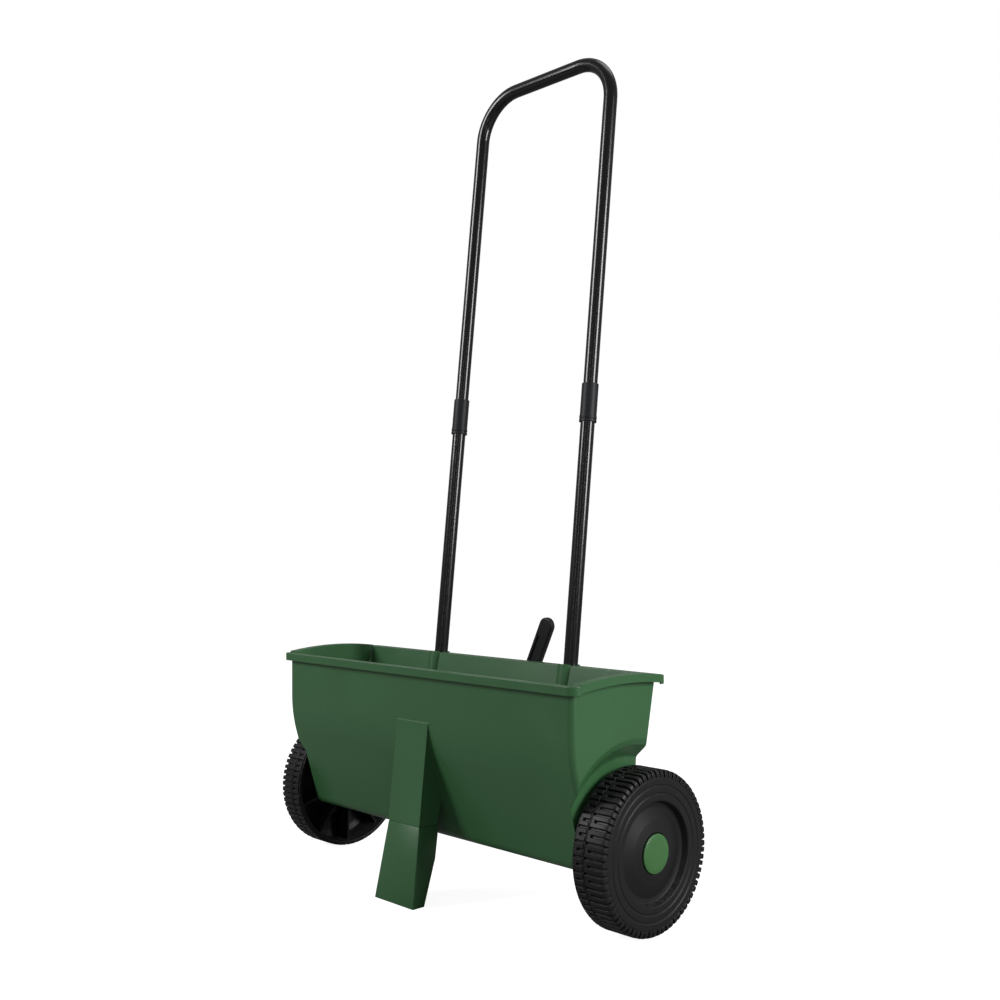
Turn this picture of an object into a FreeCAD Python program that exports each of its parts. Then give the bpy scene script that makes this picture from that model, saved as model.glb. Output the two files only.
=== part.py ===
import FreeCAD, Part
import math
import os

# Push-along drop spreader for lawns.  Millimetres, +Z up, -Y towards the front,
# +X towards the wheel that drives the agitator.
# Every y below is counted from the axle; save() moves the finished pieces so that
# the origin lies on the ground under the middle of the whole object.

V = FreeCAD.Vector

# wheels and axle
wheel_radius = 100.0
wheel_width = 48.0
wheel_inner_x = 280.0
axle_radius = 5.0
axle_half = 322.6
running_gap = 0.05
cap_radius = 24.0
cap_proud = 1.0
rib_count = 10
rib_thickness = 3.0

# hopper shell
wall = 3.7
rim_z = 308.0
rim_half = 300.0
rim_front = -116.0
rim_back = 61.0
lip_depth = 10.5
lip_skin = 2.6
body_half = 291.0
body_front = -109.0
body_back = 51.0
knee_z = 217.0
front_angle = 16.0
back_angle = 12.0
back_knee_z = 215.0
back_low_angle = 4.5
knee_radius = 195.0
base_radius = 16.0
end_radius = 8.0
base_z = 77.0
floor_z = 86.0
floor_thickness = 3.0
arch_base_x = 272.0
arch_inner_radius = 110.0
arch_outer_radius = 127.0

# front leg
leg_half = 32.0
leg_joint_z = 102.0
leg_fade_z = 236.0
hollow_high_z = 141.0
leg_front_top = -125.0
leg_back_top = -93.0
leg_bend_z = 58.0
leg_bend_back = -99.5
leg_skin = 6.4
spigot_height = 26.0
spigot_skin = 2.4
fit_gap = 0.3
foot_half = 40.0
foot_front = -143.0
foot_back = -123.0
foot_thickness = 46.0

# handle
tube_radius = 10.0
tube_wall = 0.7
tube_half_spacing = 134.0
tube_rim_y = 60.0
lean_angle = 6.6
bend_radius = 68.0
top_z = 1182.0
collar_low_z = 643.0
collar_high_z = 697.0
collar_radius = 11.8
socket_radius = 13.2
socket_low_z = 194.0
socket_screw_z = 236.0
socket_screw_radius = 2.5
rib_radius = 13.0

# metering
hole_count = 9
hole_pitch = 52.6
hole_length = 22.0
hole_width = 4.0
hole_y = -16.0
plate_front = -38.0
plate_back = 0.0
pocket_front = -57.0
pocket_back = 8.0
plate_low_z = 80.2
plate_high_z = 82.7
plate_length = 500.0
rail_z = 78.4
rivet_radius = 1.5
rail_screw_radius = 1.5

# lever
lever_angle = 26.0
lever_pivot_z = 200.0
lever_reach = 175.0
lever_arm = 30.0
lever_width = 24.0
bolt_radius = 4.0
bolt_start_y = 48.0
lever_boss_radius = 13.0
lever_front_y = 69.2
lever_back_y = 78.2
strap_y = 55.0
strap_thickness = 1.6
strap_half = 13.0
plate_stand_y = 63.0
plate_stand_back = 66.0
plate_post_radius = 6.0
plate_post_x = 46.0
plate_post_z = 262.0
plate_screw_radius = 1.6

axle_z = wheel_radius
wheel_outer_x = wheel_inner_x + wheel_width
shutter_travel = 2 * lever_arm * math.sin(math.radians(lever_angle))
lean = math.radians(lean_angle)
tube_top = (top_z - rim_z) / math.cos(lean)
handle_back = tube_rim_y + tube_top * math.sin(lean) + tube_radius
axle_y = -(handle_back + foot_front) / 2
floor_underside = floor_z - floor_thickness


def box(x0, x1, y0, y1, z0, z1):
    return Part.makeBox(x1 - x0, y1 - y0, z1 - z0, V(x0, y0, z0))


def rod(radius, start, end):
    return Part.makeCylinder(radius, (end - start).Length, start, end - start)


def sleeve(outer, inner, start, end):
    return rod(outer, start, end).cut(rod(inner, start, end))


def joined(shapes):
    whole = shapes[0]
    for shape in shapes[1:]:
        whole = whole.fuse(shape)
    return whole.removeSplitter()


def mirrored(shape):
    return shape.mirror(V(0, 0, 0), V(1, 0, 0))


def tangent_edges(corners):
    """Edges through a closed run of (point, radius) corners, each rounded by its radius."""
    starts, ends, middles = [], [], []
    count = len(corners)
    for i, (point, radius) in enumerate(corners):
        before = (corners[i - 1][0] - point).normalize()
        after = (corners[(i + 1) % count][0] - point).normalize()
        half = before.getAngle(after) / 2
        reach = radius / math.tan(half)
        inward = (before + after).normalize()
        starts.append(point + before * reach)
        ends.append(point + after * reach)
        middles.append(point + inward * (radius / math.sin(half) - radius))
    edges = []
    for i in range(count):
        if corners[i][1] > 0:
            edges.append(Part.Arc(starts[i], middles[i], ends[i]).toShape())
        edges.append(Part.makeLine(ends[i], starts[(i + 1) % count]))
    return edges


def side_solid(corners, x0, x1):
    """Prism along X from (y, z, radius) corners."""
    placed = [(V(x0, y, z), radius) for y, z, radius in corners]
    face = Part.Face(Part.Wire(tangent_edges(placed)))
    return face.extrude(V(x1 - x0, 0, 0))


def front_solid(corners, y0, y1):
    """Prism along Y from (x, z, radius) corners."""
    placed = [(V(x, y0, z), radius) for x, z, radius in corners]
    face = Part.Face(Part.Wire(tangent_edges(placed)))
    return face.extrude(V(0, y1 - y0, 0))


def turned(corners):
    """Solid turned round the axle from (x, distance from the axle, radius) corners."""
    placed = [(V(x, 0, axle_z + r), radius) for x, r, radius in corners]
    face = Part.Face(Part.Wire(tangent_edges(placed)))
    return face.revolve(V(0, 0, axle_z), V(1, 0, 0), 360)


def tilted(shape):
    """Moves a handle piece, built upright from z = 0, onto the leaning line of the handle."""
    shape = shape.copy()
    shape.rotate(V(0, 0, 0), V(1, 0, 0), -lean_angle)
    shape.translate(V(0, tube_rim_y, rim_z))
    return shape


def along_tube(z):
    return (z - rim_z) / math.cos(lean)


def tube_y(z):
    return tube_rim_y + (z - rim_z) * math.tan(lean)


def front_wall_y(z, inset=0.0):
    angle = math.radians(front_angle)
    return body_front + (knee_z - z) * math.tan(angle) + inset / math.cos(angle)


def back_wall_y(z, inset=0.0):
    """Outer back wall, moved inwards by inset: steeper above the knee than below it."""
    angle = math.radians(back_angle)
    y = body_back - (rim_z - z) * math.tan(angle) - inset / math.cos(angle)
    low = math.radians(back_low_angle)
    knee_y = body_back - (rim_z - back_knee_z) * math.tan(angle)
    return max(y, knee_y - (back_knee_z - z) * math.tan(low) - inset / math.cos(low))


def trough(inset, low_z):
    """Prism of the hopper's cross-section, its end edges rounded."""
    high_z = rim_z + 30
    front = body_front + inset
    knee = knee_z + inset * math.tan(math.radians(front_angle / 2))
    corners = [
        (front, high_z, 0),
        (front, knee, knee_radius - inset),
        (front_wall_y(low_z, inset), low_z, base_radius - inset),
        (back_wall_y(low_z, inset), low_z, base_radius - inset),
        (back_wall_y(back_knee_z, inset), back_knee_z, 60 + inset),
        (back_wall_y(high_z, inset), high_z, 0),
    ]
    half = body_half - inset
    solid = side_solid(corners, -half, half)
    ends = [e for e in solid.Edges if e.BoundBox.XLength < 0.001 and e.BoundBox.ZMin < high_z - 1]
    return solid.makeFillet(end_radius - inset, ends)


def wheel_arch(inset):
    """Space beside the right wheel, open towards the wheel."""
    far_x = body_half + 40
    return turned([
        (arch_base_x - inset, 0, 0),
        (arch_base_x - inset, arch_inner_radius + inset, 6 + inset),
        (body_half - 3, arch_outer_radius - 1 + inset, 4),
        (body_half + 1, arch_outer_radius + 9 + inset, 0),
        (far_x, arch_outer_radius + 9 + inset, 0),
        (far_x, 0, 0),
    ])


def arched(solid, inset):
    arch = wheel_arch(inset)
    return solid.cut(arch).cut(mirrored(arch))


def under_rim(drop):
    """Everything lower than the rim's top by the given drop; the end rims rise in a low arch."""
    x = rim_half + 20
    step_front = rim_front + 14
    step_back = rim_back - 14
    middle = (rim_front + rim_back) / 2
    level = rim_z - drop
    points = [
        V(-x, rim_front - 20, 0),
        V(-x, rim_front - 20, level),
        V(-x, step_front, level),
        V(-x, step_front, level + 2),
    ]
    far = [
        V(-x, step_back, level + 2),
        V(-x, step_back, level),
        V(-x, rim_back + 40, level),
        V(-x, rim_back + 40, 0),
    ]
    edges = [Part.makeLine(a, b) for a, b in zip(points, points[1:])]
    edges.append(Part.Arc(points[-1], V(-x, middle, level + 7), far[0]).toShape())
    edges += [Part.makeLine(a, b) for a, b in zip(far, far[1:])]
    edges.append(Part.makeLine(far[-1], points[0]))
    return Part.Face(Part.Wire(edges)).extrude(V(2 * x, 0, 0))


def rim_block(shrink, radius):
    block = box(-rim_half + shrink, rim_half - shrink, rim_front + shrink, rim_back - shrink,
                rim_z - 30, rim_z + 30)
    upright = [e for e in block.Edges if e.BoundBox.ZLength > 50]
    return block.makeFillet(radius, upright)


def rim():
    inner = rim_block(rim_half - body_half + wall / 2, 6)
    top = under_rim(0)
    flange = rim_block(0, 13).cut(inner).common(top).cut(under_rim(wall))
    skirt = rim_block(0, 13).cut(rim_block(lip_skin, 13 - lip_skin)).common(top).cut(under_rim(lip_depth))
    return joined([flange, skirt])


def tube_socket(x):
    """Boss on the back wall that holds the lower end of a handle tube."""
    low = V(x, tube_y(socket_low_z), socket_low_z)
    high = V(x, tube_y(rim_z + 20), rim_z + 20)
    gusset = side_solid([
        (back_wall_y(socket_low_z - 22, wall / 2), socket_low_z - 22, 0),
        (back_wall_y(rim_z, wall / 2), rim_z, 0),
        (tube_rim_y, rim_z, 0),
        (tube_y(socket_low_z) + 4, socket_low_z, 0),
    ], x - 5, x + 5)
    return joined([rod(socket_radius, low, high), gusset])


def socket_screw_seat(x):
    """Flat face for a socket screw's head on the back of a boss."""
    seat_y = tube_y(socket_screw_z) + socket_radius
    return rod(5.0, V(x, seat_y, socket_screw_z), V(x, seat_y + 8, socket_screw_z))


def socket_bore(x):
    low_z = socket_low_z + 4
    return rod(tube_radius + 0.04, V(x, tube_y(low_z), low_z), V(x, tube_y(rim_z + 40), rim_z + 40))


def inner_rib(x, interior):
    """Half-round rib inside the back wall, in front of a socket."""
    low_z = 150.0
    high_z = rim_z + 20
    inset = wall - 5
    line = rod(rib_radius, V(x, back_wall_y(low_z, inset), low_z), V(x, back_wall_y(high_z, inset), high_z))
    return line.common(interior)


def leg_front_y(z):
    """Front face of the leg's upper part, which fades into the front wall."""
    slope = (leg_front_top - body_front) / (leg_fade_z - leg_joint_z)
    return leg_front_top - slope * (z - leg_joint_z)


def buttress():
    """Upper part of the front leg, moulded on the front wall and open below."""
    tuck = 1.5
    return side_solid([
        (body_front + tuck, leg_fade_z + 4, 0),
        (body_front - 0.4, leg_fade_z, 0),
        (leg_front_top, leg_joint_z, 0),
        (leg_back_top, leg_joint_z, 0),
        (front_wall_y(134), 134, 0),
        (front_wall_y(140, tuck), 140, 0),
        (front_wall_y(190, tuck), 190, 0),
    ], -leg_half, leg_half)


def buttress_hollow():
    high_z = hollow_high_z
    return side_solid([
        (leg_front_top + wall + 0.2, leg_joint_z - 1, 0),
        (leg_front_y(high_z) + wall, high_z, 0),
        (front_wall_y(high_z, -0.4), high_z, 0),
        (front_wall_y(138, -0.4), 138, 0),
        (leg_back_top - wall, leg_joint_z - 1, 0),
    ], wall - leg_half, leg_half - wall)


def hole_centres():
    return [(i - (hole_count - 1) / 2) * hole_pitch for i in range(hole_count)]


def drop_hole(x, z0, z1):
    half = (hole_length - hole_width) / 2
    middle = box(x - half, x + half, hole_y - hole_width / 2, hole_y + hole_width / 2, z0, z1)
    ends = [rod(hole_width / 2, V(x + s * half, hole_y, z0), V(x + s * half, hole_y, z1)) for s in (-1, 1)]
    return joined([middle] + ends)


def leg_screw_places():
    return [V(x, leg_back_top + 3.4, leg_joint_z + 15) for x in (-16.0, 16.0)]


def leg_screw(place):
    head = rod(4, place, place + V(0, 2.6, 0))
    shank = rod(1.9, place + V(0, -12, 0), place)
    return joined([head, shank])


def plate_post_places():
    return [V(s * plate_post_x, 0, plate_post_z) for s in (-1, 1)]


def plate_post(place):
    inside_y = back_wall_y(plate_post_z, wall) - 2
    return rod(plate_post_radius, place + V(0, inside_y, 0), place + V(0, plate_stand_y, 0))


def lever_boss():
    inside_y = back_wall_y(lever_pivot_z, wall) - 2
    face_y = lever_front_y - 0.4
    return rod(lever_boss_radius, V(0, inside_y, lever_pivot_z), V(0, face_y, lever_pivot_z))


def hopper():
    interior = arched(trough(wall, floor_z), wall)
    shell = arched(trough(0, base_z), 0)
    pocket = box(-264, 264, pocket_front, pocket_back, base_z - 5, floor_underside)
    notch = box(-48, 48, 0, 40, base_z - 5, 81.0)
    shell = shell.fuse([tube_socket(s * tube_half_spacing) for s in (-1, 1)])
    shell = shell.fuse([buttress(), lever_boss()])
    shell = shell.fuse([plate_post(place) for place in plate_post_places()])
    shell = shell.cut(interior)
    shell = shell.fuse([inner_rib(s * tube_half_spacing, interior) for s in (-1, 1)])
    shell = shell.common(under_rim(0)).fuse(rim())
    bolt_hole = rod(bolt_radius, V(0, bolt_start_y, lever_pivot_z), V(0, 100, lever_pivot_z))
    cuts = [pocket, notch, buttress_hollow(), bolt_hole]
    cuts += [socket_bore(s * tube_half_spacing) for s in (-1, 1)]
    cuts += [drop_hole(x, base_z, floor_z + 1) for x in hole_centres()]
    cuts += [rod(8.0, V(s * 240, 0, axle_z), V(s * 300, 0, axle_z)) for s in (-1, 1)]
    cuts += [leg_screw(place) for place in leg_screw_places()]
    cuts += [rod(4.6, place, place + V(0, 14, 0)) for place in leg_screw_places()]
    cuts += [rod(plate_screw_radius, p + V(0, plate_stand_y - 14, 0), p + V(0, 90, 0))
             for p in plate_post_places()]
    cuts += [rod(socket_screw_radius + 0.1, V(s * tube_half_spacing, 50, socket_screw_z),
                 V(s * tube_half_spacing, 110, socket_screw_z)) for s in (-1, 1)]
    cuts += [socket_screw_seat(s * tube_half_spacing) for s in (-1, 1)]
    cuts += [rod(rail_screw_radius, p, p + V(0, 0, 7.4)) for p in rail_screw_places()]
    return shell.cut(cuts).removeSplitter()


def leg_side(inset, high_z, low_z):
    """Side outline of the lower leg, moved inwards by inset."""
    return side_solid([
        (leg_front_top + inset, high_z, 0),
        (foot_front + inset, low_z, 0),
        (foot_back - inset, low_z, 0),
        (leg_bend_back - inset, leg_bend_z, 0),
        (leg_back_top - inset, leg_joint_z - 14, 0),
        (leg_back_top - inset, high_z, 0),
    ], -60, 60)


def leg_face(inset, high_z, low_z):
    """Front outline of the lower leg, wider at the foot."""
    return front_solid([
        (-leg_half + inset, high_z, 0),
        (-foot_half + inset, low_z, 0),
        (foot_half - inset, low_z, 0),
        (leg_half - inset, high_z, 0),
    ], -170, 0)


def leg_spigot(inset, low_z, high_z):
    """Block that fits up into the open end of the leg's upper part."""
    skin = wall + fit_gap + inset
    return side_solid([
        (leg_front_y(low_z) + skin + 0.3, low_z, 0),
        (leg_front_y(high_z) + skin + 0.3, high_z, 0),
        (leg_back_top - skin - 1.2, high_z, 0),
        (leg_back_top - skin - 1.2, low_z, 0),
    ], skin - leg_half, leg_half - skin)


def lower_leg():
    outer_top = leg_joint_z - fit_gap
    outer = leg_side(0, outer_top, 0).common(leg_face(0, outer_top, 0))
    spigot = leg_spigot(0, leg_joint_z - 8, leg_joint_z + spigot_height)
    inner_top = leg_joint_z - 8
    inner = leg_side(leg_skin, inner_top, 0).common(leg_face(leg_skin, inner_top, 0))
    inner = inner.cut(box(-foot_half, foot_half, foot_front, 0, -1, foot_thickness))
    throat = leg_spigot(spigot_skin, leg_joint_z - 12, leg_joint_z + spigot_height + 5)
    leg = joined([outer, spigot]).cut(inner).cut(throat)
    return leg.cut([leg_screw(place) for place in leg_screw_places()]).removeSplitter()


def leg_screws():
    return Part.makeCompound([leg_screw(place) for place in leg_screw_places()])


def axle():
    bar = rod(axle_radius, V(-axle_half, 0, axle_z), V(axle_half, 0, axle_z))
    ends = [e for e in bar.Edges if e.BoundBox.XLength < 0.001]
    bar = bar.makeChamfer(0.8, ends)
    return bar.cut([drive_pin()] + agitator_pin_list())


def drive_pin():
    x = wheel_inner_x - 1.4
    return rod(1.5, V(x, 0, axle_z - 11), V(x, 0, axle_z + 11))


def axle_bush():
    """Flanged plastic bush in the right end wall."""
    barrel = rod(7.97, V(262, 0, axle_z), V(arch_base_x, 0, axle_z))
    flange = rod(11.5, V(arch_base_x, 0, axle_z), V(arch_base_x + 2.2, 0, axle_z))
    bore = rod(axle_radius + running_gap, V(250, 0, axle_z), V(290, 0, axle_z))
    return joined([barrel, flange]).cut(bore)


def agitator_pin_list():
    return [rod(1.2, V(x, 0, axle_z - 8.6), V(x, 0, axle_z + 8.6)) for x in (-236.0, 236.0)]


def agitator():
    """Sleeve on the axle with a pair of short paddles over each drop hole."""
    half = 244.0
    sleeve_radius = 8.0
    paddle_reach = 12.3
    whole = [rod(sleeve_radius, V(-half, 0, axle_z), V(half, 0, axle_z))]
    for i, x in enumerate(hole_centres()):
        for quarter in (0, 90):
            paddle = box(x - 8, x + 8, -1.6, 1.6, axle_z - paddle_reach, axle_z + paddle_reach)
            paddle.rotate(V(0, 0, axle_z), V(1, 0, 0), quarter + 45 * (i % 2))
            whole.append(paddle)
    body = joined(whole)
    bore = rod(axle_radius + 0.02, V(-half - 5, 0, axle_z), V(half + 5, 0, axle_z))
    return body.cut([bore] + agitator_pin_list())


def wheel_rib(angle):
    """One radial rib on the hollow inner side of the right wheel."""
    x = wheel_inner_x
    points = [(5, 12), (11, 94), (43, 94), (45.5, 88), (45.5, 64), (36, 58), (34, 12)]
    side_y = -rib_thickness / 2
    face = Part.Face(Part.makePolygon([V(x + u, side_y, axle_z + r) for u, r in points + points[:1]]))
    rib = face.extrude(V(0, rib_thickness, 0))
    rib.rotate(V(0, 0, axle_z), V(1, 0, 0), angle)
    return rib


def wheel(bore_radius):
    """Moulded right wheel: tread band, dished outer face, hub and inner ribs."""
    x = wheel_inner_x
    w = wheel_width
    section = [
        (0, 94, 0), (0, 97, 0), (3, 100, 0), (w - 5, 100, 1.5), (w, 92, 3),
        (w, 83.2, 0), (w - 1.4, 81.6, 0), (w, 80, 0), (w, 73.6, 0), (w - 1.4, 72, 0), (w, 70.4, 0),
        (w, 62.5, 2), (39, 60, 1.5), (38, 54, 4), (43.4, 38, 14), (46, 26, 0.8), (46, 21.5, 0),
        (37, 21.5, 0), (37, bore_radius, 0), (-4.6, bore_radius, 0), (-4.6, 14, 0), (32.5, 14, 0),
        (33, 54, 3), (43.5, 64, 3), (43.5, 84, 3), (40, 94, 3),
    ]
    band = turned([(x + u, r, radius) for u, r, radius in section])
    return band.fuse([wheel_rib(i * 360.0 / rib_count) for i in range(rib_count)]).cut(
        rod(bore_radius, V(x - 9, 0, axle_z), V(x + 38, 0, axle_z)))


def drive_wheel():
    slot = box(wheel_inner_x - 6, wheel_inner_x + 0.2, -1.6, 1.6, axle_z - 11.3, axle_z + 11.3)
    return wheel(axle_radius + 0.02).cut(slot).removeSplitter()


def free_wheel():
    return mirrored(wheel(axle_radius + running_gap)).removeSplitter()


def hub_cap():
    """Snap-in cap of the right wheel, slightly domed."""
    seat = wheel_inner_x + 46.1
    face_x = wheel_outer_x + cap_proud
    return turned([
        (seat - 5, 21.3, 0), (seat, 21.3, 0), (seat, cap_radius, 0), (face_x - 1.6, cap_radius, 1.2),
        (face_x - 0.4, cap_radius - 5, 20), (face_x, 0, 0), (seat + 1, 0, 0), (seat + 1, 19.3, 0),
        (seat - 5, 19.3, 0),
    ])


def retaining_clip():
    x = wheel_inner_x + 37.1
    return sleeve(10, axle_radius + 0.01, V(x, 0, axle_z), V(x + 1.6, 0, axle_z))


def shutter_plate():
    """Sliding strip under the floor, drawn in its closed place."""
    shift = -shutter_travel
    low_x = -plate_length / 2 - shutter_travel / 2
    plate = box(low_x, low_x + plate_length, plate_front, plate_back, plate_low_z, plate_high_z)
    cuts = [drop_hole(x + shift, plate_low_z - 1, plate_high_z + 1) for x in hole_centres()]
    cuts += [rod(rivet_radius, V(p.x, p.y, 60), V(p.x, p.y, 90)) for p in rivet_places()]
    return plate.cut(cuts)


def rivet_places():
    return [V(-shutter_travel / 2, y, 0) for y in (hole_y - 9, hole_y + 9)]


def bracket_rivets():
    rivets = []
    for p in rivet_places():
        low = V(p.x, p.y, plate_low_z - strap_thickness)
        shank = rod(rivet_radius, low, V(p.x, p.y, plate_high_z))
        head = rod(2.8, low + V(0, 0, -0.9), low)
        rivets.append(joined([shank, head]))
    return Part.makeCompound(rivets)


def shutter_bracket():
    """Bent steel strap from the shutter up to the lever's pin."""
    half = strap_thickness / 2
    foot_mid = plate_low_z - half
    path = [(hole_y - 14, foot_mid), (26.0, foot_mid), (strap_y, 160.0), (strap_y, 184.0)]
    x = -shutter_travel / 2
    parts = []
    for (y0, z0), (y1, z1) in zip(path, path[1:]):
        along = V(0, y1 - y0, z1 - z0).normalize()
        side = V(0, -along.z, along.y) * half
        a = V(x - strap_half, y0, z0)
        b = V(x - strap_half, y1, z1)
        face = Part.Face(Part.makePolygon([a + side, b + side, b - side, a - side, a + side]))
        parts.append(face.extrude(V(2 * strap_half, 0, 0)))
    for y, z in path[1:-1]:
        parts.append(rod(half, V(x - strap_half, y, z), V(x + strap_half, y, z)))
    slot_half = 3.35
    slot = box(x - slot_half, x + slot_half, strap_y - 5, strap_y + 5, 166.0, 177.5)
    holes = [rod(rivet_radius, V(p.x, p.y, 60), V(p.x, p.y, 90)) for p in rivet_places()]
    return joined(parts).cut([slot] + holes)


def rail_screw_places():
    front = [V(x, plate_front - 5, rail_z) for x in (-240.0, -80.0, 80.0, 240.0)]
    back = [V(x, plate_back + 3.6, rail_z) for x in (-240.0, -80.0, 80.0, 240.0)]
    return front + back


def rail_screws():
    screws = []
    for p in rail_screw_places():
        screws.append(joined([rod(3, p + V(0, 0, -1.2), p), rod(rail_screw_radius, p, p + V(0, 0, 7.2))]))
    return Part.makeCompound(screws)


def shutter_rail(x0, x1, web_y, lip_y):
    """L-shaped rail screwed under the floor; the lip carries one edge of the shutter."""
    web = box(x0, x1, min(web_y), max(web_y), rail_z, floor_underside)
    lip = box(x0, x1, min(lip_y), max(lip_y), rail_z, plate_low_z - 0.3)
    holes = [rod(rail_screw_radius, p, p + V(0, 0, 9)) for p in rail_screw_places()]
    return joined([web, lip]).cut(holes)


def control_lever():
    """Flat lever with a rounded grip end and a shallow channel, turned to its closed place."""
    half = lever_width / 2
    tip_z = lever_pivot_z + lever_reach
    arm_z = lever_pivot_z - lever_arm
    grip = box(-half, half, lever_front_y, lever_back_y, lever_pivot_z, tip_z)
    arm = box(-8, 8, lever_front_y, lever_back_y, arm_z, lever_pivot_z)
    rounds = [rod(radius, V(0, lever_front_y, z), V(0, lever_back_y, z))
              for radius, z in ((half, tip_z), (15.5, lever_pivot_z), (8, arm_z))]
    lever = joined([grip, arm] + rounds)
    rims = [e for e in lever.Edges if e.BoundBox.YLength < 0.001]
    lever = lever.makeFillet(2.4, rims)
    channel = box(-6.5, 6.5, lever_front_y - 1, lever_front_y + 1.6, lever_pivot_z + 22, tip_z - 18)
    pivot = rod(bolt_radius + running_gap, V(0, 60, lever_pivot_z), V(0, 100, lever_pivot_z))
    lever = lever.cut([channel, pivot, upright_lever_pin()])
    lever.rotate(V(0, 0, lever_pivot_z), V(0, 1, 0), lever_angle)
    return lever


def upright_lever_pin():
    z = lever_pivot_z - lever_arm
    return rod(3, V(0, strap_y - 4, z), V(0, lever_back_y - 1.5, z))


def lever_pin():
    pin = upright_lever_pin()
    pin.rotate(V(0, 0, lever_pivot_z), V(0, 1, 0), lever_angle)
    return pin


def lever_bolt():
    z = lever_pivot_z
    shank = rod(bolt_radius, V(0, bolt_start_y, z), V(0, lever_back_y + 1.4, z))
    hexagon = [V(6.5 * math.cos(a), lever_back_y + 1.4, z + 6.5 * math.sin(a))
               for a in [math.radians(60 * i) for i in range(7)]]
    head = Part.Face(Part.makePolygon(hexagon)).extrude(V(0, 5, 0))
    return joined([shank, head])


def lever_washer():
    z = lever_pivot_z
    return sleeve(9, bolt_radius + 0.02, V(0, lever_back_y + 0.3, z), V(0, lever_back_y + 1.3, z))


def setting_plate():
    """Arched plate behind the rim with notches for the lever's settings."""
    centre = V(0, plate_stand_y, lever_pivot_z)
    back = V(0, plate_stand_back, lever_pivot_z)
    arc = rod(88, centre, back).cut(rod(58, centre, back))
    sector = front_solid([(0, lever_pivot_z, 0), (-86, lever_pivot_z + 100, 0), (86, lever_pivot_z + 100, 0)],
                         plate_stand_y - 1, plate_stand_back + 1)
    cuts = []
    for i in range(11):
        notch = box(-1.2, 1.2, 60, 90, lever_pivot_z + 84.5, lever_pivot_z + 92)
        notch.rotate(V(0, 0, lever_pivot_z), V(0, 1, 0), (i - 5) * lever_angle / 5)
        cuts.append(notch)
    cuts += [rod(1.8, p + V(0, 60, 0), p + V(0, 90, 0)) for p in plate_post_places()]
    return arc.common(sector).cut(cuts)


def setting_plate_screws():
    screws = []
    for p in plate_post_places():
        head = p + V(0, plate_stand_back, 0)
        shank = rod(plate_screw_radius, head + V(0, -14, 0), head)
        screws.append(joined([shank, rod(3.4, head, head + V(0, 2, 0))]))
    return Part.makeCompound(screws)


def lower_tube(x):
    low = along_tube(socket_low_z + 4.2)
    high = along_tube((collar_low_z + collar_high_z) / 2) - 0.2
    tube = tilted(sleeve(tube_radius, tube_radius - tube_wall, V(x, 0, low), V(x, 0, high)))
    z = socket_screw_z
    return tube.cut(rod(socket_screw_radius + 0.1, V(x, tube_y(z), z), V(x, 110, z)))


def collar(x):
    """Sleeve over the joint of the lower and upper tube, with two beads at its lower end."""
    low = along_tube(collar_low_z)
    high = along_tube(collar_high_z)
    body = rod(collar_radius, V(x, 0, low + 8), V(x, 0, high))
    beads = [rod(collar_radius + 0.5, V(x, 0, low + s), V(x, 0, low + s + 3.4)) for s in (0, 5.0)]
    neck = rod(collar_radius - 0.8, V(x, 0, low), V(x, 0, low + 9))
    whole = joined([body, neck] + beads)
    return tilted(whole.cut(rod(tube_radius + 0.02, V(x, 0, low - 5), V(x, 0, high + 5))))


def bent_bar(radius):
    """Upright legs, two bends and the crossbar of the upper handle, before it leans."""
    low = along_tube((collar_low_z + collar_high_z) / 2) + 0.2
    bend_low = tube_top - bend_radius
    x = tube_half_spacing
    turn_x = x - bend_radius
    pieces = [rod(radius, V(-turn_x, 0, tube_top), V(turn_x, 0, tube_top))]
    for side in (-1, 1):
        pieces.append(rod(radius, V(side * x, 0, low), V(side * x, 0, bend_low)))
        end = Part.Face(Part.Wire(Part.makeCircle(radius, V(side * x, 0, bend_low), V(0, 0, 1))))
        pieces.append(end.revolve(V(side * turn_x, 0, bend_low), V(0, 1, 0), -90 * side))
    return joined(pieces)


def upper_handle():
    return tilted(bent_bar(tube_radius).cut(bent_bar(tube_radius - tube_wall)))


def socket_screws():
    screws = []
    z = socket_screw_z
    for side in (-1, 1):
        x = side * tube_half_spacing
        seat = V(x, tube_y(z) + socket_radius, z)
        shank = rod(socket_screw_radius, seat + V(0, -11, 0), seat)
        screws.append(joined([shank, rod(4.6, seat, seat + V(0, 3, 0))]))
    return Part.makeCompound(screws)


def save(name, shape):
    moved = shape.copy()
    moved.translate(V(0, axle_y, 0))
    moved.exportStep("parts/" + name + ".step")


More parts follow.
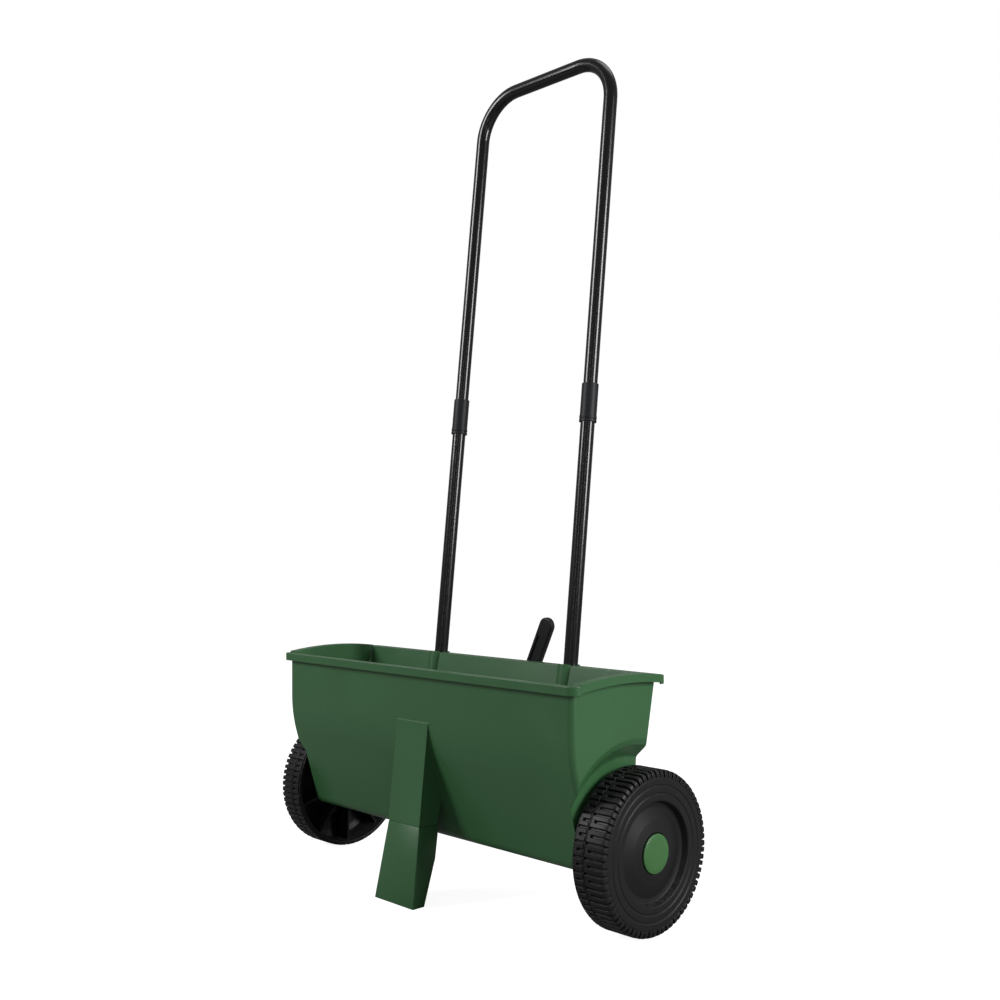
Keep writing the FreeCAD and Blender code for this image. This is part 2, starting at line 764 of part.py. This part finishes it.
def main():
    os.makedirs("parts", exist_ok=True)
    front_web = (plate_front - 9, plate_front - 0.4)
    front_lip = (plate_front - 9, plate_front + 6)
    back_web = (plate_back + 0.4, plate_back + 7)
    back_lip = (plate_back - 6, plate_back + 7)
    nodes = {
        "hopper": hopper(),
        "lower_leg": lower_leg(),
        "leg_screws": leg_screws(),
        "axle": axle(),
        "drive_pin": drive_pin(),
        "axle_bush_right": axle_bush(),
        "axle_bush_left": mirrored(axle_bush()),
        "agitator": agitator(),
        "agitator_pins": Part.makeCompound(agitator_pin_list()),
        "drive_wheel": drive_wheel(),
        "free_wheel": free_wheel(),
        "hub_cap_right": hub_cap(),
        "hub_cap_left": mirrored(hub_cap()),
        "retaining_clip_right": retaining_clip(),
        "retaining_clip_left": mirrored(retaining_clip()),
        "shutter_plate": shutter_plate(),
        "shutter_bracket": shutter_bracket(),
        "bracket_rivets": bracket_rivets(),
        "shutter_rail_front": shutter_rail(-258, 258, front_web, front_lip),
        "shutter_rail_back_left": shutter_rail(-258, -50, back_web, back_lip),
        "shutter_rail_back_right": shutter_rail(50, 258, back_web, back_lip),
        "rail_screws": rail_screws(),
        "control_lever": control_lever(),
        "lever_pin": lever_pin(),
        "lever_bolt": lever_bolt(),
        "lever_washer": lever_washer(),
        "setting_plate": setting_plate(),
        "setting_plate_screws": setting_plate_screws(),
        "lower_tube_left": lower_tube(-tube_half_spacing),
        "lower_tube_right": lower_tube(tube_half_spacing),
        "collar_left": collar(-tube_half_spacing),
        "collar_right": collar(tube_half_spacing),
        "upper_handle": upper_handle(),
        "socket_screws": socket_screws(),
    }
    for name, shape in nodes.items():
        save(name, shape)


main()
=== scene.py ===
import math
import bmesh
import bpy
from mathutils import Matrix, Vector


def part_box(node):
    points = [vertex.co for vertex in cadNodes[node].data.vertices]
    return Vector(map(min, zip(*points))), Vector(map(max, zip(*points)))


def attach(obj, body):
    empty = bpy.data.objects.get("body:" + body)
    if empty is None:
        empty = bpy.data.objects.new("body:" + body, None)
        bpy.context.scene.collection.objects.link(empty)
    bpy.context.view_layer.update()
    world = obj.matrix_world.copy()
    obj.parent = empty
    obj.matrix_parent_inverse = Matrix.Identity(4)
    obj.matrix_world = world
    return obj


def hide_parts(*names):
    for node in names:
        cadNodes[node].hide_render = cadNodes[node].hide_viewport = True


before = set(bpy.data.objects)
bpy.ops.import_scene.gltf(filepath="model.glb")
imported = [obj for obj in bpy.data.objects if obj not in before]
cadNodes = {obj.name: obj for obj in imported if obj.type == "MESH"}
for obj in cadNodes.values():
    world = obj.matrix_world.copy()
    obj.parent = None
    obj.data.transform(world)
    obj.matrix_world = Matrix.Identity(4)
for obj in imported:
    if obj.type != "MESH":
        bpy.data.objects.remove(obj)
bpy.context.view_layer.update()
mm = 0.001


# small helpers for node trees

def addNode(tree, kind, inputs=None, **settings):
    node = tree.nodes.new(kind)
    for key, value in settings.items():
        setattr(node, key, value)
    for key, value in (inputs or {}).items():
        if isinstance(value, bpy.types.NodeSocket):
            tree.links.new(value, node.inputs[key])
        else:
            node.inputs[key].default_value = value
    return node


def doMath(tree, operation, a, b=0.0, clamp=False):
    return addNode(tree, "ShaderNodeMath", {0: a, 1: b}, operation=operation, use_clamp=clamp).outputs[0]


def mixColours(tree, factor, a, b):
    node = addNode(tree, "ShaderNodeMix", {0: factor, 6: a, 7: b}, data_type="RGBA")
    return node.outputs[2]


def mapRange(tree, value, low, high, toLow, toHigh):
    node = addNode(tree, "ShaderNodeMapRange", {0: value, 1: low, 2: high, 3: toLow, 4: toHigh})
    return node.outputs[0]


def newGroup(name, inputs, outputs):
    tree = bpy.data.node_groups.new(name, "ShaderNodeTree")
    for label, value in inputs.items():
        socket = tree.interface.new_socket(label, in_out="INPUT", socket_type="NodeSocketFloat")
        socket.default_value = value
    for label in outputs:
        kind = "NodeSocketVector" if label == "Normal" else "NodeSocketFloat"
        tree.interface.new_socket(label, in_out="OUTPUT", socket_type=kind)
    return tree, tree.nodes.new("NodeGroupInput").outputs, tree.nodes.new("NodeGroupOutput").inputs


# surface effects shared by the materials

def makeEdgeWear():
    # rubbed outer edges: where a rounded normal leaves the true one, broken up by noise
    tree, given, result = newGroup("edgeWear", {"Radius": 0.001, "Amount": 1.0, "Patch Size": 60.0},
                                   ["Mask", "Normal"])
    rounded = addNode(tree, "ShaderNodeBevel", {"Radius": given["Radius"]}, samples=6)
    geometry = addNode(tree, "ShaderNodeNewGeometry")
    likeness = addNode(tree, "ShaderNodeVectorMath", {0: rounded.outputs[0], 1: geometry.outputs["Normal"]},
                       operation="DOT_PRODUCT").outputs["Value"]
    edge = mapRange(tree, likeness, 0.995, 0.90, 0.0, 1.0)
    place = addNode(tree, "ShaderNodeTexCoord").outputs["Object"]
    patches = addNode(tree, "ShaderNodeTexNoise", {"Vector": place, "Scale": given["Patch Size"],
                                                   "Detail": 4.0})
    broken = mapRange(tree, patches.outputs[0], 0.38, 0.62, 0.25, 1.0)
    rubbed = doMath(tree, "MULTIPLY", edge, broken)
    tree.links.new(doMath(tree, "MULTIPLY", rubbed, given["Amount"], True), result["Mask"])
    tree.links.new(rounded.outputs[0], result["Normal"])
    return tree


def makeMouldGrain():
    # fine spark-eroded texture of a mould, and slow cloudy variation
    tree, given, result = newGroup("mouldGrain", {"Grain Size": 1400.0, "Cloud Size": 9.0},
                                   ["Height", "Cloud"])
    place = addNode(tree, "ShaderNodeTexCoord").outputs["Object"]
    fine = addNode(tree, "ShaderNodeTexNoise", {"Vector": place, "Scale": given["Grain Size"], "Detail": 3.0,
                                                "Roughness": 0.65})
    pits = addNode(tree, "ShaderNodeTexVoronoi", {"Vector": place, "Scale": given["Grain Size"]})
    height = doMath(tree, "ADD", fine.outputs[0], doMath(tree, "MULTIPLY", pits.outputs["Distance"], 0.4))
    cloud = addNode(tree, "ShaderNodeTexNoise", {
        "Vector": place, "Scale": given["Cloud Size"], "Detail": 5.0, "Distortion": 0.6})
    tree.links.new(height, result["Height"])
    tree.links.new(mapRange(tree, cloud.outputs[0], 0.3, 0.7, 0.0, 1.0), result["Cloud"])
    return tree


def makeScuffs():
    # thin scratches in two directions
    tree, given, result = newGroup("scuffs", {"Size": 30.0, "Thinness": 0.03}, ["Mask"])
    place = addNode(tree, "ShaderNodeTexCoord").outputs["Object"]
    masks = []
    for turn, stretch in ((0.35, (1.0, 1.0, 14.0)), (1.25, (16.0, 1.0, 1.0))):
        lay = addNode(tree, "ShaderNodeMapping", {"Vector": place, "Rotation": (turn, turn * 0.6, turn),
                                                  "Scale": stretch})
        lines = addNode(tree, "ShaderNodeTexNoise", {"Vector": lay.outputs[0], "Scale": given["Size"],
                                                     "Detail": 2.0, "Distortion": 0.3})
        offset = doMath(tree, "ABSOLUTE", doMath(tree, "SUBTRACT", lines.outputs[0], 0.5))
        thin = doMath(tree, "SUBTRACT", 1.0, doMath(tree, "DIVIDE", offset, given["Thinness"]), True)
        masks.append(thin)
    both = doMath(tree, "MAXIMUM", masks[0], masks[1])
    where = addNode(tree, "ShaderNodeTexNoise", {"Vector": place, "Scale": 14.0, "Detail": 2.0})
    patch = mapRange(tree, where.outputs[0], 0.5, 0.68, 0.0, 1.0)
    tree.links.new(doMath(tree, "MULTIPLY", both, patch), result["Mask"])
    return tree


def makeDust():
    # settled dust on faces that look up
    tree, given, result = newGroup("dust", {"Amount": 0.1}, ["Mask"])
    geometry = addNode(tree, "ShaderNodeNewGeometry")
    up = addNode(tree, "ShaderNodeSeparateXYZ", {0: geometry.outputs["Normal"]}).outputs["Z"]
    place = addNode(tree, "ShaderNodeTexCoord").outputs["Object"]
    specks = addNode(tree, "ShaderNodeTexNoise", {"Vector": place, "Scale": 220.0, "Detail": 6.0,
                                                  "Roughness": 0.7})
    facing = mapRange(tree, up, 0.2, 1.0, 0.0, 1.0)
    speckled = mapRange(tree, specks.outputs[0], 0.42, 0.7, 0.0, 1.0)
    settled = doMath(tree, "MULTIPLY", facing, speckled)
    tree.links.new(doMath(tree, "MULTIPLY", settled, given["Amount"], True), result["Mask"])
    return tree


effects = {
    "edgeWear": makeEdgeWear(),
    "mouldGrain": makeMouldGrain(),
    "scuffs": makeScuffs(),
    "dust": makeDust()}
print("effects made:", len(effects))


def addEffect(tree, name, **values):
    node = tree.nodes.new("ShaderNodeGroup")
    node.node_tree = effects[name]
    for label, value in values.items():
        node.inputs[label].default_value = value
    return node.outputs


# materials

def scaled(colour, factor):
    return tuple(min(1.0, c * factor) for c in colour[:3]) + (1.0,)


def makeFinish(name, spec):
    material = bpy.data.materials.new(name)
    material.use_nodes = True
    tree = material.node_tree
    tree.nodes.clear()
    grain = addEffect(tree, "mouldGrain", **{
        "Grain Size": spec["grainSize"], "Cloud Size": spec["cloudSize"]})
    wear = addEffect(tree, "edgeWear", **{"Radius": spec["edgeRadius"], "Amount": spec["edgeAmount"]})
    marks = addEffect(tree, "scuffs", **{"Size": spec["scuffSize"]})
    dust = addEffect(tree, "dust", Amount=spec["dust"])
    base = spec["colour"] + (1.0,)
    darker = scaled(base, 1 - spec["cloudAmount"])
    lighter = scaled(base, 1 + spec["cloudAmount"])
    body = mixColours(tree, grain["Cloud"], darker, lighter)
    worn = mixColours(tree, wear["Mask"], body, spec["edgeColour"] + (1.0,))
    marked = mixColours(tree, doMath(tree, "MULTIPLY", marks["Mask"], spec["scuffAmount"]), worn,
                        spec["edgeColour"] + (1.0,))
    dusty = mixColours(tree, dust["Mask"], marked, (0.55, 0.55, 0.52, 1.0))
    low, high = spec["roughness"]
    rough = mapRange(tree, grain["Cloud"], 0.0, 1.0, low, high)
    rough = doMath(tree, "ADD", rough, doMath(tree, "MULTIPLY", marks["Mask"], 0.12 * spec["scuffAmount"]))
    rough = doMath(tree, "ADD", rough, doMath(tree, "MULTIPLY", dust["Mask"], 0.3))
    bump = addNode(tree, "ShaderNodeBump", {
        "Strength": spec["bump"], "Distance": 0.0004, "Height": grain["Height"], "Normal": wear["Normal"]})
    shader = addNode(tree, "ShaderNodeBsdfPrincipled", {
        "Base Color": dusty, "Roughness": rough, "Metallic": spec.get("metallic", 0.0),
        "IOR": spec.get("ior", 1.46), "Specular IOR Level": spec.get("specular", 0.3),
        "Coat Weight": spec.get("coat", 0.0), "Coat Roughness": spec.get("coatRoughness", 0.1),
        "Normal": bump.outputs[0]})
    output = addNode(tree, "ShaderNodeOutputMaterial", {"Surface": shader.outputs[0]})
    output.location.x = 400
    return material


plastic = {
    "grainSize": 1500.0, "cloudSize": 7.0, "cloudAmount": 0.05, "edgeRadius": 0.0012, "edgeAmount": 0.35,
    "scuffSize": 26.0, "scuffAmount": 0.12, "dust": 0.04, "roughness": (0.30, 0.37), "bump": 0.08}
metal = dict(
    plastic, metallic=1.0, colour=(0.52, 0.52, 0.51), edgeColour=(0.7, 0.7, 0.7), roughness=(0.28, 0.42),
    cloudAmount=0.1, scuffAmount=0.4, bump=0.05)

finishes = {
    "hopper_green": dict(plastic, colour=(0.022, 0.070, 0.026), edgeColour=(0.05, 0.12, 0.06)),
    "leg_green": dict(plastic, colour=(0.020, 0.066, 0.024), edgeColour=(0.05, 0.12, 0.06)),
    "cap_green": dict(plastic, colour=(0.027, 0.085, 0.025), edgeColour=(0.07, 0.15, 0.07),
                      roughness=(0.38, 0.46)),
    "wheel_black": dict(plastic, colour=(0.006, 0.006, 0.0065), edgeColour=(0.022, 0.022, 0.024),
                        roughness=(0.40, 0.50), grainSize=1100.0, bump=0.15, specular=0.16),
    "tube_black": dict(plastic, colour=(0.004, 0.004, 0.0042), edgeColour=(0.01, 0.01, 0.01),
                       roughness=(0.2, 0.26), coat=0.15, coatRoughness=0.1, bump=0.01, grainSize=500.0,
                       edgeRadius=0.0002, scuffAmount=0.03, dust=0.01, specular=0.2),
    "collar_black": dict(plastic, colour=(0.007, 0.0075, 0.009), edgeColour=(0.02, 0.02, 0.02),
                         roughness=(0.46, 0.54), edgeRadius=0.0004, specular=0.16),
    "lever_black": dict(plastic, colour=(0.006, 0.006, 0.0065), edgeColour=(0.025, 0.025, 0.025),
                        roughness=(0.38, 0.46), specular=0.18),
    "steel": metal,
    "natural_plastic": dict(plastic, colour=(0.72, 0.70, 0.62), edgeColour=(0.85, 0.84, 0.8)),
    "shutter_grey": dict(plastic, colour=(0.16, 0.165, 0.17), edgeColour=(0.3, 0.3, 0.3)),
}
materials = {slot: makeFinish(slot, spec) for slot, spec in finishes.items()}
print("materials made:", len(materials))


# lower leg, a softened copy of the CAD part

def newPiece(name, mesh):
    piece = bpy.data.objects.new(name, mesh)
    bpy.context.scene.collection.objects.link(piece)
    return piece


def finishShape(shape, name, smoothAngle=35.0):
    for face in shape.faces:
        face.smooth = True
    for edge in shape.edges:
        edge.smooth = edge.calc_face_angle(0.0) < math.radians(smoothAngle)
    mesh = bpy.data.meshes.new(name)
    shape.to_mesh(mesh)
    shape.free()
    return newPiece(name, mesh)


def handOver(piece, body, slot, *replaced):
    if not piece.data.materials:
        piece.data.materials.append(materials[slot])
    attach(piece, body)
    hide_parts(*replaced)


def softenedCopy(node, width, segments=2, sharpAngle=32.0, smallestFace=0.4 * mm * mm):
    # the CAD shape with its sharp edges rounded, as a moulding comes out of its tool
    shape = bmesh.new()
    shape.from_mesh(cadNodes[node].data)
    bmesh.ops.remove_doubles(shape, verts=shape.verts, dist=1e-6)
    bmesh.ops.dissolve_limit(shape, angle_limit=math.radians(0.6), verts=shape.verts, edges=shape.edges)
    edges = [e for e in shape.edges
             if e.calc_face_angle(0.0) > math.radians(sharpAngle)
             and min(f.calc_area() for f in e.link_faces) > smallestFace]
    bmesh.ops.bevel(shape, geom=edges, offset=width, segments=segments, profile=0.5, affect="EDGES",
                    clamp_overlap=False)
    bmesh.ops.triangulate(shape, faces=[f for f in shape.faces if len(f.verts) > 4])
    return finishShape(shape, node + "Moulding")


lowerLeg = {"edgeWidth": 1.2 * mm}
handOver(softenedCopy("lower_leg", lowerLeg["edgeWidth"]), "frame", "leg_green", "lower_leg")
print("lower leg softened")


# wheels

wheel = {
    "segments": 216, "lugPairs": 36, "ribs": 10, "ribThickness": 3.0,
    "width": 48.0, "treadFloor": 96.8, "treadTop": 100.0, "lugWidth": 5.3, "lugFoot": 6.1, "lugEdge": 0.35,
    "ridge": (17.4, 18.8), "innerRow": (2.3, 17.0), "outerRow": (19.2, 43.0), "bridge": 5.5,
    "boreRadius": 5.05, "hubRadius": 14.0, "capSeatRadius": 25.0, "smoothAngle": 28.0}


def roundedOutline(corners, steps=4):
    # corners are (u, r, radius) of a closed outline; each is rounded by its radius
    outline = []
    count = len(corners)
    for i, (u, r, radius) in enumerate(corners):
        here = Vector((u, r))
        before = (Vector(corners[i - 1][:2]) - here).normalized()
        after = (Vector(corners[(i + 1) % count][:2]) - here).normalized()
        half = before.angle(after) / 2
        if radius == 0 or half > math.radians(89):
            outline.append(here)
            continue
        centre = here + (before + after).normalized() * (radius / math.sin(half))
        start = here + before * (radius / math.tan(half)) - centre
        end = here + after * (radius / math.tan(half)) - centre
        turn = start.angle_signed(end)
        for step in range(steps + 1):
            bend = start.copy()
            bend.rotate(Matrix.Rotation(-turn * step / steps, 2))
            outline.append(centre + bend)
    return outline


def latheRing(shape, outline, segments, place):
    # place(u, r, angle) gives the point in the row frame; the outline is closed
    rings = []
    for i in range(segments):
        angle = 2 * math.pi * i / segments
        rings.append([shape.verts.new(place(u, r, angle)) for u, r in outline])
    for i in range(segments):
        ring, following = rings[i], rings[(i + 1) % segments]
        for j in range(len(outline)):
            k = (j + 1) % len(outline)
            shape.faces.new((ring[j], ring[k], following[k], following[j]))


def wheelSection():
    w = wheel["width"]
    floor = wheel["treadFloor"]
    ridgeIn, ridgeOut = wheel["ridge"]
    bore = wheel["boreRadius"]
    seat = wheel["capSeatRadius"]
    return roundedOutline([
        (0, 93.5, 0.8), (0, 98.8, 0.7), (1.8, 98.8, 0.5), (1.95, floor, 0.0),
        (ridgeIn - 0.2, floor, 0.0), (ridgeIn, floor + 2.9, 0.4), (ridgeOut, floor + 2.9, 0.4),
        (ridgeOut + 0.2, floor, 0.0), (43.2, floor, 0.8), (45.8, 92.0, 0.8), (w, 90.2, 1.0),
        (w, 82.9, 0.4), (w - 1.3, 81.6, 0.3), (w, 80.3, 0.4),
        (w, 73.3, 0.4), (w - 1.3, 72, 0.3), (w, 70.7, 0.4),
        (w, 62.8, 2.0), (39.6, 60.2, 2.0), (38.4, 54.0, 4.0), (43.4, 38.0, 14.0), (45.8, seat + 1.0, 0.8),
        (45.8, seat, 0.3), (40.6, seat - 0.2, 0.0), (40.6, 18.5, 0.0), (37.0, 18.5, 0.0), (37.0, bore, 0.0),
        (-4.6, bore, 0.3), (-4.6, wheel["hubRadius"], 0.8), (32.5, wheel["hubRadius"], 2.0), (33, 54, 3.0),
        (43.0, 64, 3.0), (43.0, 84, 3.0), (40, 93.5, 3.0)])


def addLug(shape, profile, middle, topWidth, footWidth):
    # a block across the tread: profile is (u, r) points, the first and last at its foot
    footRadius = min(r for u, r in profile)
    sides = []
    for sign in (-1, 1):
        side = []
        for u, r in profile:
            lift = (r - footRadius) / (wheel["treadTop"] - footRadius)
            half = (footWidth + (topWidth - footWidth) * lift) / 2
            side.append(shape.verts.new((u, middle + sign * half, r)))
        sides.append(side)
    count = len(profile)
    faces = [shape.faces.new(sides[0]), shape.faces.new(list(reversed(sides[1])))]
    for i in range(count):
        j = (i + 1) % count
        faces.append(shape.faces.new((sides[0][i], sides[1][i], sides[1][j], sides[0][j])))
    return faces


def makeLugPair():
    # two lugs of each row, joined by a short bridge at one end, standing at the top of the wheel
    shape = bmesh.new()
    top = wheel["treadTop"]
    foot = wheel["treadFloor"] - 0.6
    step = 2 * math.pi * top / (2 * wheel["lugPairs"])
    low, high = wheel["outerRow"]
    outer = [(low, foot), (low + 0.3, top), (high, top), (46.4, 98.6), (48.0, 95.0), (48.0, 91.0),
             (45.6, 90.6), (42.6, foot)]
    inLow, inHigh = wheel["innerRow"]
    inner = [(inLow, foot), (inLow + 0.3, top), (inHigh - 0.3, top), (inHigh, foot)]
    bridge = wheel["bridge"]
    outerBridge = [(low, foot), (low + 0.3, top), (low + bridge, top), (low + bridge + 0.6, foot)]
    innerBridge = [(inLow, foot), (inLow + 0.3, top), (inLow + bridge - 1, top), (inLow + bridge, foot)]
    for middle in (-step / 2, step / 2):
        addLug(shape, outer, middle, wheel["lugWidth"], wheel["lugFoot"])
        addLug(shape, inner, middle, wheel["lugWidth"], wheel["lugFoot"])
    gap = step - wheel["lugWidth"] + 1.0
    addLug(shape, outerBridge, 0.0, gap, gap)
    addLug(shape, innerBridge, 0.0, gap, gap)
    bmesh.ops.recalc_face_normals(shape, faces=shape.faces)
    tops = [e for e in shape.edges if min(v.co.z for v in e.verts) > wheel["treadFloor"] - 5.5
            and e.calc_face_angle(0.0) > math.radians(30)]
    bmesh.ops.bevel(shape, geom=tops, offset=wheel["lugEdge"], segments=1, profile=0.5, affect="EDGES",
                    clamp_overlap=True)
    return shape


def makeRib():
    shape = bmesh.new()
    outline = [(5, 12), (11, 94.5), (42, 94.5), (44.5, 86), (44.5, 66), (36, 58), (34, 12)]
    half = wheel["ribThickness"] / 2
    sides = [[shape.verts.new((u, sign * half, r)) for u, r in outline] for sign in (-1, 1)]
    shape.faces.new(sides[0])
    shape.faces.new(list(reversed(sides[1])))
    for i in range(len(outline)):
        j = (i + 1) % len(outline)
        shape.faces.new((sides[0][i], sides[1][i], sides[1][j], sides[0][j]))
    bmesh.ops.recalc_face_normals(shape, faces=shape.faces)
    return shape


def makeTurnTree():
    # copies of a shape turned about the X axis through a centre
    tree = bpy.data.node_groups.new("turnedCopies", "GeometryNodeTree")
    sockets = {}
    for label, kind in (("Geometry", "NodeSocketGeometry"), ("Count", "NodeSocketInt"),
                        ("Centre", "NodeSocketVector"), ("Material", "NodeSocketMaterial")):
        sockets[label] = tree.interface.new_socket(label, in_out="INPUT", socket_type=kind)
    tree.interface.new_socket("Geometry", in_out="OUTPUT", socket_type="NodeSocketGeometry")
    given = tree.nodes.new("NodeGroupInput").outputs
    points = addNode(tree, "GeometryNodePoints", {"Count": given["Count"], "Position": given["Centre"]})
    index = addNode(tree, "GeometryNodeInputIndex").outputs[0]
    step = doMath(tree, "DIVIDE", 2 * math.pi, given["Count"])
    angle = doMath(tree, "MULTIPLY", index, step)
    turn = addNode(tree, "ShaderNodeCombineXYZ", {"X": angle})
    spin = addNode(tree, "FunctionNodeEulerToRotation", {0: turn.outputs[0]})
    copies = addNode(tree, "GeometryNodeInstanceOnPoints", {
        "Points": points.outputs[0], "Instance": given["Geometry"], "Rotation": spin.outputs[0]})
    solid = addNode(tree, "GeometryNodeRealizeInstances", {0: copies.outputs[0]})
    painted = addNode(tree, "GeometryNodeSetMaterial", {
        "Geometry": solid.outputs[0], "Material": given["Material"]})
    tree.links.new(painted.outputs[0], tree.nodes.new("NodeGroupOutput").inputs[0])
    return tree, {label: socket.identifier for label, socket in sockets.items()}


turnTree, turnInputs = makeTurnTree()


def turnedMesh(shape, name, count, centre, material):
    mesh = bpy.data.meshes.new(name)
    shape.to_mesh(mesh)
    shape.free()
    source = newPiece(name, mesh)
    modifier = source.modifiers.new("copies", "NODES")
    modifier.node_group = turnTree
    modifier[turnInputs["Count"]] = count
    modifier[turnInputs["Centre"]] = centre
    modifier[turnInputs["Material"]] = material
    bpy.context.view_layer.update()
    evaluated = source.evaluated_get(bpy.context.evaluated_depsgraph_get())
    plain = bpy.data.meshes.new_from_object(evaluated)
    bpy.data.objects.remove(source)
    return plain


def makeWheel(node, side, name):
    low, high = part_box(node)
    centreY, centreZ = (low.y + high.y) / 2, (low.z + high.z) / 2
    faceX = high.x if side > 0 else low.x
    innerX = faceX - side * wheel["width"] * mm

    def place(u, r, angle):
        reach = r * mm
        return (innerX + side * u * mm, centreY + reach * math.sin(angle), centreZ + reach * math.cos(angle))

    body = bmesh.new()
    latheRing(body, wheelSection(), wheel["segments"], place)
    material = materials["wheel_black"]
    centre = (innerX, centreY, centreZ)
    repeats = ((makeLugPair(), "lugs", wheel["lugPairs"]), (makeRib(), "ribs", wheel["ribs"]))
    for part, label, count in repeats:
        for vertex in part.verts:
            vertex.co = Vector((vertex.co.x * side, vertex.co.y, vertex.co.z)) * mm
        body.from_mesh(turnedMesh(part, label, count, centre, material))
    bmesh.ops.recalc_face_normals(body, faces=body.faces)
    return finishShape(body, name, wheel["smoothAngle"])


handOver(makeWheel("drive_wheel", 1, "driveWheelTyre"), "drive_axle", "wheel_black", "drive_wheel")
handOver(makeWheel("free_wheel", -1, "freeWheelTyre"), "free_wheel", "wheel_black", "free_wheel")
print("wheels made")


# CAD parts that keep their shape take the finishes above

for node in cadNodes.values():
    for place in node.material_slots:
        finish = place.material.name.split(".")[0]
        if finish in materials:
            place.material = materials[finish]
print("CAD parts painted:", len(cadNodes))


# floor, light and camera

studio = {
    "floorSize": 12.0, "floorColour": (0.26, 0.26, 0.26), "floorGlow": 0.92, "worldStrength": 0.30}
lights = {
    "key": {"place": (-1.5, -2.4, 2.0), "power": 112.0, "size": (0.9, 1.4)},
    "side": {"place": (2.8, 0.6, 1.3), "power": 122.0, "size": (0.8, 1.3)},
    "top": {"place": (0.2, 0.6, 2.6), "power": 8.0, "size": (0.8, 1.2)},
    "leftStrip": {"place": (0.75, -1.95, 1.0), "power": 2.2, "size": (0.05, 1.0)},
    "rightStrip": {"place": (1.9, -1.0, 1.0), "power": 2.2, "size": (0.05, 1.0)}}


def makeFloor():
    # pale paper floor, glowing for the eye only so that its far edge melts into the backdrop
    mesh = bpy.data.meshes.new("studioFloor")
    half = studio["floorSize"] / 2
    corners = [(-half, -half, 0), (half, -half, 0), (half, half, 0), (-half, half, 0)]
    mesh.from_pydata(corners, [], [(0, 1, 2, 3)])
    floor = newPiece("studioFloor", mesh)
    material = bpy.data.materials.new("floorPaper")
    material.use_nodes = True
    tree = material.node_tree
    tree.nodes.clear()
    place = addNode(tree, "ShaderNodeTexCoord").outputs["Object"]
    fibre = addNode(tree, "ShaderNodeTexNoise", {"Vector": place, "Scale": 300.0, "Detail": 4.0})
    seen = addNode(tree, "ShaderNodeLightPath").outputs["Is Camera Ray"]
    bump = addNode(tree, "ShaderNodeBump", {
        "Strength": 0.05, "Distance": 0.0005, "Height": fibre.outputs[0]})
    shader = addNode(tree, "ShaderNodeBsdfPrincipled", {
        "Base Color": studio["floorColour"] + (1.0,), "Roughness": 0.9, "Specular IOR Level": 0.0,
        "Emission Color": (1.0, 1.0, 1.0, 1.0),
        "Emission Strength": doMath(tree, "MULTIPLY", seen, studio["floorGlow"]), "Normal": bump.outputs[0]})
    addNode(tree, "ShaderNodeOutputMaterial", {"Surface": shader.outputs[0]})
    mesh.materials.append(material)


def makeLight(name, spec):
    data = bpy.data.lights.new(name, "AREA")
    data.energy = spec["power"]
    data.shape = "RECTANGLE"
    data.size, data.size_y = spec["size"]
    light = bpy.data.objects.new(name, data)
    bpy.context.scene.collection.objects.link(light)
    light.location = spec["place"]
    light.rotation_euler = (Vector(spec["place"]) - Vector((0, 0, 0.3))).to_track_quat("Z", "Y").to_euler()


def makeWorld():
    # a white backdrop for the eye, dimmer as a source of light
    world = bpy.data.worlds.new("studioWorld")
    world.use_nodes = True
    tree = world.node_tree
    tree.nodes.clear()
    seen = addNode(tree, "ShaderNodeLightPath").outputs["Is Camera Ray"]
    strength = mapRange(tree, seen, 0.0, 1.0, studio["worldStrength"], 1.0)
    background = addNode(tree, "ShaderNodeBackground", {"Color": (1, 1, 1, 1), "Strength": strength})
    addNode(tree, "ShaderNodeOutputWorld", {"Surface": background.outputs[0]})
    bpy.context.scene.world = world


cameraView = {
    "place": (1.2258, -1.1436, 0.4865), "azimuth": 45.93, "pitch": 1.686, "roll": -0.305, "lens": 42.31}


def makeCamera():
    data = bpy.data.cameras.new("camera")
    data.lens = cameraView["lens"]
    data.sensor_width = 36.0
    camera = bpy.data.objects.new("camera", data)
    bpy.context.scene.collection.objects.link(camera)
    turn = (Matrix.Rotation(math.radians(cameraView["azimuth"]), 4, "Z")
            @ Matrix.Rotation(math.radians(90 + cameraView["pitch"]), 4, "X")
            @ Matrix.Rotation(math.radians(cameraView["roll"]), 4, "Z"))
    camera.matrix_world = Matrix.Translation(cameraView["place"]) @ turn
    bpy.context.scene.camera = camera


makeFloor()
makeWorld()
for name, spec in lights.items():
    makeLight(name, spec)
makeCamera()
bpy.context.scene.view_settings.view_transform = "Standard"
print("studio made")
